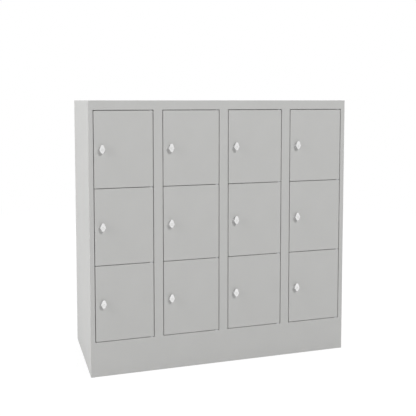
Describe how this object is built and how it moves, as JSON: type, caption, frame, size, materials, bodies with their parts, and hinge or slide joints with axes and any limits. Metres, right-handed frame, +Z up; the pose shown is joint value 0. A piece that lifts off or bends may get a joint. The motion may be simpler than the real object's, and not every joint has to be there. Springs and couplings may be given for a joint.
{
  "type": "compartment cabinet",
  "caption": "Low sheet-steel locker cabinet on a flush plinth, with columns of flush hinged compartment doors, each with a turn knob and cam latch.",
  "frame": {"origin": "on the floor, under the middle of the bounding box of the cabinet and its knobs", "axes": "+Z up, +X to the right as seen from the front, +Y towards the back, so the doors face -Y"},
  "size_m": [1.19, 0.5196, 1.18],
  "materials": {
    "carcass_paint": "light grey powder coat, satin, very fine texture",
    "door_paint": "light grey powder coat, satin, very fine texture",
    "knob_chrome": "bright satin plated die casting",
    "plated_steel": "bright zinc plate"
  },
  "bodies": {
    "carcass": {"left_side_panel": "carcass_paint", "right_side_panel": "carcass_paint", "top_panel": "carcass_paint", "back_panel": "carcass_paint", "floor_panel": "carcass_paint", "plinth_front": "carcass_paint", "mullion_1": "carcass_paint", "mullion_2": "carcass_paint", "mullion_3": "carcass_paint", "partition_1": "carcass_paint", "partition_2": "carcass_paint", "partition_3": "carcass_paint", "shelf_c1_r1": "carcass_paint", "shelf_c1_r2": "carcass_paint", "shelf_c2_r1": "carcass_paint", "shelf_c2_r2": "carcass_paint", "shelf_c3_r1": "carcass_paint", "shelf_c3_r2": "carcass_paint", "shelf_c4_r1": "carcass_paint", "shelf_c4_r2": "carcass_paint", "hinge_rod_1": "plated_steel", "hinge_rod_2": "plated_steel", "hinge_rod_3": "plated_steel", "hinge_rod_4": "plated_steel"},
    "leaf_c1_r1": {"door_c1_r1": "door_paint"},
    "latch_c1_r1": {"latch_knob_c1_r1": "knob_chrome", "latch_cam_c1_r1": "plated_steel"},
    "leaf_c1_r2": {"door_c1_r2": "door_paint"},
    "latch_c1_r2": {"latch_knob_c1_r2": "knob_chrome", "latch_cam_c1_r2": "plated_steel"},
    "leaf_c1_r3": {"door_c1_r3": "door_paint"},
    "latch_c1_r3": {"latch_knob_c1_r3": "knob_chrome", "latch_cam_c1_r3": "plated_steel"},
    "leaf_c2_r1": {"door_c2_r1": "door_paint"},
    "latch_c2_r1": {"latch_knob_c2_r1": "knob_chrome", "latch_cam_c2_r1": "plated_steel"},
    "leaf_c2_r2": {"door_c2_r2": "door_paint"},
    "latch_c2_r2": {"latch_knob_c2_r2": "knob_chrome", "latch_cam_c2_r2": "plated_steel"},
    "leaf_c2_r3": {"door_c2_r3": "door_paint"},
    "latch_c2_r3": {"latch_knob_c2_r3": "knob_chrome", "latch_cam_c2_r3": "plated_steel"},
    "leaf_c3_r1": {"door_c3_r1": "door_paint"},
    "latch_c3_r1": {"latch_knob_c3_r1": "knob_chrome", "latch_cam_c3_r1": "plated_steel"},
    "leaf_c3_r2": {"door_c3_r2": "door_paint"},
    "latch_c3_r2": {"latch_knob_c3_r2": "knob_chrome", "latch_cam_c3_r2": "plated_steel"},
    "leaf_c3_r3": {"door_c3_r3": "door_paint"},
    "latch_c3_r3": {"latch_knob_c3_r3": "knob_chrome", "latch_cam_c3_r3": "plated_steel"},
    "leaf_c4_r1": {"door_c4_r1": "door_paint"},
    "latch_c4_r1": {"latch_knob_c4_r1": "knob_chrome", "latch_cam_c4_r1": "plated_steel"},
    "leaf_c4_r2": {"door_c4_r2": "door_paint"},
    "latch_c4_r2": {"latch_knob_c4_r2": "knob_chrome", "latch_cam_c4_r2": "plated_steel"},
    "leaf_c4_r3": {"door_c4_r3": "door_paint"},
    "latch_c4_r3": {"latch_knob_c4_r3": "knob_chrome", "latch_cam_c4_r3": "plated_steel"}
  },
  "joints": [
    {"name": "door_hinge_c1_r1", "type": "hinge", "parent": "carcass", "child": "leaf_c1_r1", "pos_m": [-0.33, -0.23425, 0.81083], "axis": [0, 0, 1], "range_deg": [0, 110]},
    {"name": "latch_turn_c1_r1", "type": "hinge", "parent": "leaf_c1_r1", "child": "latch_c1_r1", "pos_m": [-0.5395, -0.24025, 0.97417], "axis": [0, 1, 0], "range_deg": [0, 90]},
    {"name": "door_hinge_c1_r2", "type": "hinge", "parent": "carcass", "child": "leaf_c1_r2", "pos_m": [-0.33, -0.23425, 0.48167], "axis": [0, 0, 1], "range_deg": [0, 110]},
    {"name": "latch_turn_c1_r2", "type": "hinge", "parent": "leaf_c1_r2", "child": "latch_c1_r2", "pos_m": [-0.5395, -0.24025, 0.645], "axis": [0, 1, 0], "range_deg": [0, 90]},
    {"name": "door_hinge_c1_r3", "type": "hinge", "parent": "carcass", "child": "leaf_c1_r3", "pos_m": [-0.33, -0.23425, 0.1525], "axis": [0, 0, 1], "range_deg": [0, 110]},
    {"name": "latch_turn_c1_r3", "type": "hinge", "parent": "leaf_c1_r3", "child": "latch_c1_r3", "pos_m": [-0.5395, -0.24025, 0.31583], "axis": [0, 1, 0], "range_deg": [0, 90]},
    {"name": "door_hinge_c2_r1", "type": "hinge", "parent": "carcass", "child": "leaf_c2_r1", "pos_m": [-0.0325, -0.23425, 0.81083], "axis": [0, 0, 1], "range_deg": [0, 110]},
    {"name": "latch_turn_c2_r1", "type": "hinge", "parent": "leaf_c2_r1", "child": "latch_c2_r1", "pos_m": [-0.242, -0.24025, 0.97417], "axis": [0, 1, 0], "range_deg": [0, 90]},
    {"name": "door_hinge_c2_r2", "type": "hinge", "parent": "carcass", "child": "leaf_c2_r2", "pos_m": [-0.0325, -0.23425, 0.48167], "axis": [0, 0, 1], "range_deg": [0, 110]},
    {"name": "latch_turn_c2_r2", "type": "hinge", "parent": "leaf_c2_r2", "child": "latch_c2_r2", "pos_m": [-0.242, -0.24025, 0.645], "axis": [0, 1, 0], "range_deg": [0, 90]},
    {"name": "door_hinge_c2_r3", "type": "hinge", "parent": "carcass", "child": "leaf_c2_r3", "pos_m": [-0.0325, -0.23425, 0.1525], "axis": [0, 0, 1], "range_deg": [0, 110]},
    {"name": "latch_turn_c2_r3", "type": "hinge", "parent": "leaf_c2_r3", "child": "latch_c2_r3", "pos_m": [-0.242, -0.24025, 0.31583], "axis": [0, 1, 0], "range_deg": [0, 90]},
    {"name": "door_hinge_c3_r1", "type": "hinge", "parent": "carcass", "child": "leaf_c3_r1", "pos_m": [0.265, -0.23425, 0.81083], "axis": [0, 0, 1], "range_deg": [0, 110]},
    {"name": "latch_turn_c3_r1", "type": "hinge", "parent": "leaf_c3_r1", "child": "latch_c3_r1", "pos_m": [0.0555, -0.24025, 0.97417], "axis": [0, 1, 0], "range_deg": [0, 90]},
    {"name": "door_hinge_c3_r2", "type": "hinge", "parent": "carcass", "child": "leaf_c3_r2", "pos_m": [0.265, -0.23425, 0.48167], "axis": [0, 0, 1], "range_deg": [0, 110]},
    {"name": "latch_turn_c3_r2", "type": "hinge", "parent": "leaf_c3_r2", "child": "latch_c3_r2", "pos_m": [0.0555, -0.24025, 0.645], "axis": [0, 1, 0], "range_deg": [0, 90]},
    {"name": "door_hinge_c3_r3", "type": "hinge", "parent": "carcass", "child": "leaf_c3_r3", "pos_m": [0.265, -0.23425, 0.1525], "axis": [0, 0, 1], "range_deg": [0, 110]},
    {"name": "latch_turn_c3_r3", "type": "hinge", "parent": "leaf_c3_r3", "child": "latch_c3_r3", "pos_m": [0.0555, -0.24025, 0.31583], "axis": [0, 1, 0], "range_deg": [0, 90]},
    {"name": "door_hinge_c4_r1", "type": "hinge", "parent": "carcass", "child": "leaf_c4_r1", "pos_m": [0.5625, -0.23425, 0.81083], "axis": [0, 0, 1], "range_deg": [0, 110]},
    {"name": "latch_turn_c4_r1", "type": "hinge", "parent": "leaf_c4_r1", "child": "latch_c4_r1", "pos_m": [0.353, -0.24025, 0.97417], "axis": [0, 1, 0], "range_deg": [0, 90]},
    {"name": "door_hinge_c4_r2", "type": "hinge", "parent": "carcass", "child": "leaf_c4_r2", "pos_m": [0.5625, -0.23425, 0.48167], "axis": [0, 0, 1], "range_deg": [0, 110]},
    {"name": "latch_turn_c4_r2", "type": "hinge", "parent": "leaf_c4_r2", "child": "latch_c4_r2", "pos_m": [0.353, -0.24025, 0.645], "axis": [0, 1, 0], "range_deg": [0, 90]},
    {"name": "door_hinge_c4_r3", "type": "hinge", "parent": "carcass", "child": "leaf_c4_r3", "pos_m": [0.5625, -0.23425, 0.1525], "axis": [0, 0, 1], "range_deg": [0, 110]},
    {"name": "latch_turn_c4_r3", "type": "hinge", "parent": "leaf_c4_r3", "child": "latch_c4_r3", "pos_m": [0.353, -0.24025, 0.31583], "axis": [0, 1, 0], "range_deg": [0, 90]}
  ]
}
